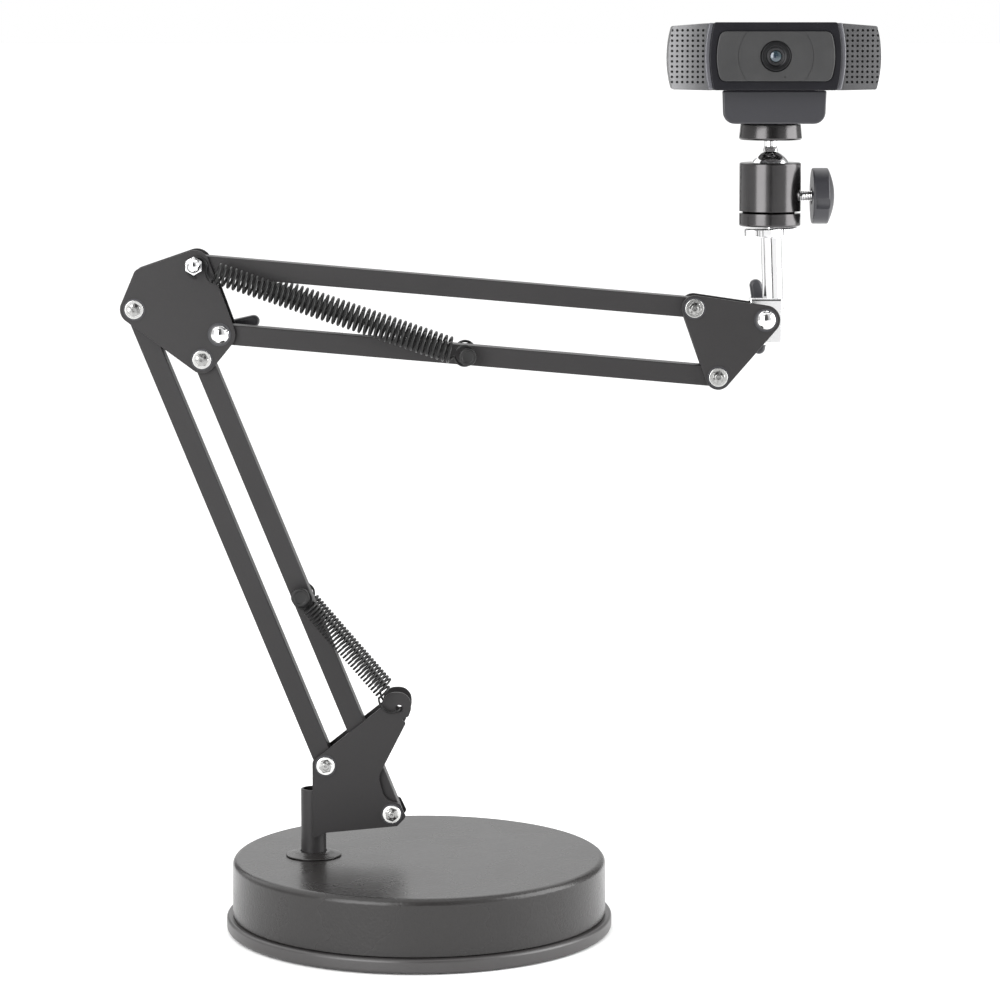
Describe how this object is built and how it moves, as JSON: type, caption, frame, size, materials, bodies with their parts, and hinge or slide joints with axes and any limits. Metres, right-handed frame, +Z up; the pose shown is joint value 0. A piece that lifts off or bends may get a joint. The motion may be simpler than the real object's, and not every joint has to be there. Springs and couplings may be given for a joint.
{
  "type": "webcam on desk arm",
  "caption": "Widescreen webcam on a mini ball head, carried by a spring-balanced parallelogram desk arm that swivels on a weighted round base.",
  "frame": {"origin": "centre of the base's underside, on the desk", "axes": "+Z up, +X from the base towards the webcam in the arm's plane, the webcam looks along -Y"},
  "size_m": [0.3306, 0.1726, 0.4028],
  "materials": {
    "powder_coat": "matte",
    "cast_iron": "matte",
    "foam": "matte",
    "black_plastic": "satin",
    "chrome": "polished",
    "black_oxide": "satin",
    "anodised": "gloss",
    "grille": "satin",
    "gloss_plastic": "gloss",
    "glass": "polished"
  },
  "bodies": {
    "base": {"base_cover": "powder_coat", "base_weight": "cast_iron", "base_rim": "black_plastic", "base_pad": "foam", "base_grommet": "black_plastic"},
    "post": {"post_tube": "powder_coat", "shoulder_plate_front": "powder_coat", "shoulder_plate_back": "powder_coat", "shoulder_bolt_outer": "chrome", "shoulder_bolt_inner": "chrome"},
    "outer_bar": {"lower_bar_outer": "powder_coat"},
    "inner_bar": {"lower_bar_inner": "powder_coat", "lower_spring_pin": "black_oxide"},
    "lower_springs": {"lower_spring_front": "black_oxide", "lower_spring_back": "black_oxide"},
    "lower_spring_ends": {"lower_spring_end_front": "black_oxide", "lower_spring_end_back": "black_oxide"},
    "elbow": {"elbow_plate_front": "powder_coat", "elbow_plate_back": "powder_coat", "elbow_bolt_outer": "chrome", "elbow_bolt_inner": "chrome", "elbow_top_bolt": "chrome", "elbow_acorn_nut": "chrome", "elbow_clamp_bolt": "chrome"},
    "elbow_wing": {"elbow_wing_nut": "black_plastic"},
    "top_bar": {"upper_bar_top": "powder_coat"},
    "bottom_bar": {"upper_bar_bottom": "powder_coat", "upper_spring_pin": "black_oxide"},
    "upper_springs": {"upper_spring_front": "black_oxide", "upper_spring_back": "black_oxide"},
    "upper_spring_ends": {"upper_spring_end_front": "black_oxide", "upper_spring_end_back": "black_oxide"},
    "end_bracket": {"end_plate_front": "powder_coat", "end_plate_back": "powder_coat", "end_bolt_top": "chrome", "end_bolt_bottom": "chrome", "head_bolt": "chrome"},
    "head_wing": {"head_wing_nut": "black_plastic"},
    "head_post": {"head_knuckle": "chrome"},
    "lock_ring": {"lock_ring": "chrome"},
    "housing": {"ball_housing": "anodised"},
    "knob": {"clamp_knob": "black_plastic", "clamp_screw": "chrome"},
    "ball": {"ball": "chrome"},
    "stem": {"ball_stem": "chrome"},
    "camera_plate": {"camera_plate": "anodised", "clip_foot": "black_plastic"},
    "clip_arm": {"clip_arm": "black_plastic", "tilt_pin": "chrome"},
    "webcam": {"rear_shell": "black_plastic", "grille_left": "grille", "grille_right": "grille", "front_bezel": "gloss_plastic", "face_plate": "gloss_plastic", "lens_ring": "anodised", "lens_glass": "glass", "cable_gland": "black_plastic"}
  },
  "joints": [
    {"name": "base_swivel", "type": "hinge", "parent": "base", "child": "post", "pos_m": [-0.0473, 0, 0.03], "axis": [0, 0, 1], "continuous": true},
    {"name": "lower_arm_swing", "type": "hinge", "parent": "post", "child": "outer_bar", "pos_m": [-0.0414, 0, 0.0746], "axis": [0, 1, 0], "range_deg": [-12, 20]},
    {"name": "inner_bar_follow", "type": "hinge", "parent": "post", "child": "inner_bar", "pos_m": [-0.012, 0, 0.05265], "axis": [0, 1, 0], "range_deg": [-12, 20]},
    {"name": "elbow_level", "type": "hinge", "parent": "outer_bar", "child": "elbow", "pos_m": [-0.12387, 0, 0.27802], "axis": [0, 1, 0], "range_deg": [-20, 12]},
    {"name": "lower_spring_turn", "type": "hinge", "parent": "post", "child": "lower_springs", "pos_m": [-0.0086, 0, 0.1004], "axis": [0, 1, 0], "range_deg": [-20, 33], "deforming": ["lower_spring_front", "lower_spring_back"]},
    {"name": "lower_spring_stretch", "type": "slide", "parent": "lower_springs", "child": "lower_spring_ends", "axis": [-0.6497, 0, 0.7602], "range_m": [-0.011, 0.0065], "deforming": ["lower_spring_end_front", "lower_spring_end_back"]},
    {"name": "upper_arm_swing", "type": "hinge", "parent": "elbow", "child": "top_bar", "pos_m": [-0.09728, 0, 0.29742], "axis": [0, 1, 0], "range_deg": [-30, 25]},
    {"name": "bottom_bar_follow", "type": "hinge", "parent": "elbow", "child": "bottom_bar", "pos_m": [-0.08668, 0, 0.26712], "axis": [0, 1, 0], "range_deg": [-30, 25]},
    {"name": "end_bracket_level", "type": "hinge", "parent": "top_bar", "child": "end_bracket", "pos_m": [0.12142, 0, 0.27859], "axis": [0, 1, 0], "range_deg": [-25, 30]},
    {"name": "upper_spring_turn", "type": "hinge", "parent": "elbow", "child": "upper_springs", "pos_m": [-0.09728, 0, 0.29742], "axis": [0, 1, 0], "range_deg": [-27, 22.5], "deforming": ["upper_spring_front", "upper_spring_back"]},
    {"name": "upper_spring_stretch", "type": "slide", "parent": "upper_springs", "child": "upper_spring_ends", "axis": [0.9467, 0, -0.3222], "range_m": [-0.0137, 0.0115], "deforming": ["upper_spring_end_front", "upper_spring_end_back"]},
    {"name": "elbow_wing_turn", "type": "hinge", "parent": "elbow", "child": "elbow_wing", "pos_m": [-0.08668, 0, 0.26712], "axis": [0, 1, 0], "range_deg": [-30, 45]},
    {"name": "head_tilt", "type": "hinge", "parent": "end_bracket", "child": "head_post", "pos_m": [0.15272, 0, 0.27339], "axis": [0, 1, 0], "range_deg": [-35, 35]},
    {"name": "head_wing_turn", "type": "hinge", "parent": "end_bracket", "child": "head_wing", "pos_m": [0.15272, 0, 0.27339], "axis": [0, 1, 0], "range_deg": [-45, 45]},
    {"name": "lock_ring_turn", "type": "hinge", "parent": "head_post", "child": "lock_ring", "pos_m": [0.15503, 0, 0.31002], "axis": [-0.0401, 0, 0.9992], "range_deg": [-45, 45]},
    {"name": "housing_swivel", "type": "hinge", "parent": "head_post", "child": "housing", "pos_m": [0.1544, 0, 0.3142], "axis": [0, 0, 1], "continuous": true},
    {"name": "clamp_knob_turn", "type": "hinge", "parent": "housing", "child": "knob", "pos_m": [0.1744, 0, 0.3274], "axis": [1, 0, 0], "range_deg": [-90, 90]},
    {"name": "ball_tilt", "type": "hinge", "parent": "housing", "child": "ball", "pos_m": [0.1544, 0, 0.3381], "axis": [1, 0, 0], "range_deg": [-20, 20]},
    {"name": "ball_roll", "type": "hinge", "parent": "ball", "child": "stem", "pos_m": [0.1544, 0, 0.3381], "axis": [0, 1, 0], "range_deg": [-20, 20]},
    {"name": "camera_pan", "type": "hinge", "parent": "stem", "child": "camera_plate", "pos_m": [0.1544, 0, 0.3518], "axis": [0, 0, 1], "continuous": true},
    {"name": "clip_fold", "type": "hinge", "parent": "camera_plate", "child": "clip_arm", "pos_m": [0.1544, 0.02, 0.367], "axis": [-1, 0, 0], "range_deg": [0, 75]},
    {"name": "webcam_tilt", "type": "hinge", "parent": "clip_arm", "child": "webcam", "pos_m": [0.1544, -0.0006, 0.379], "axis": [-1, 0, 0], "range_deg": [0, 30]}
  ],
  "couplings": [
    {"joint": "inner_bar_follow", "follows": "lower_arm_swing", "ratio": 1},
    {"joint": "elbow_level", "follows": "lower_arm_swing", "ratio": -1},
    {"joint": "lower_spring_turn", "follows": "lower_arm_swing", "ratio": 1.61},
    {"joint": "lower_spring_stretch", "follows": "lower_arm_swing", "m_per_rad": -0.029},
    {"joint": "bottom_bar_follow", "follows": "upper_arm_swing", "ratio": 1},
    {"joint": "end_bracket_level", "follows": "upper_arm_swing", "ratio": -1},
    {"joint": "upper_spring_turn", "follows": "upper_arm_swing", "ratio": 0.86},
    {"joint": "upper_spring_stretch", "follows": "upper_arm_swing", "m_per_rad": 0.0255}
  ]
}
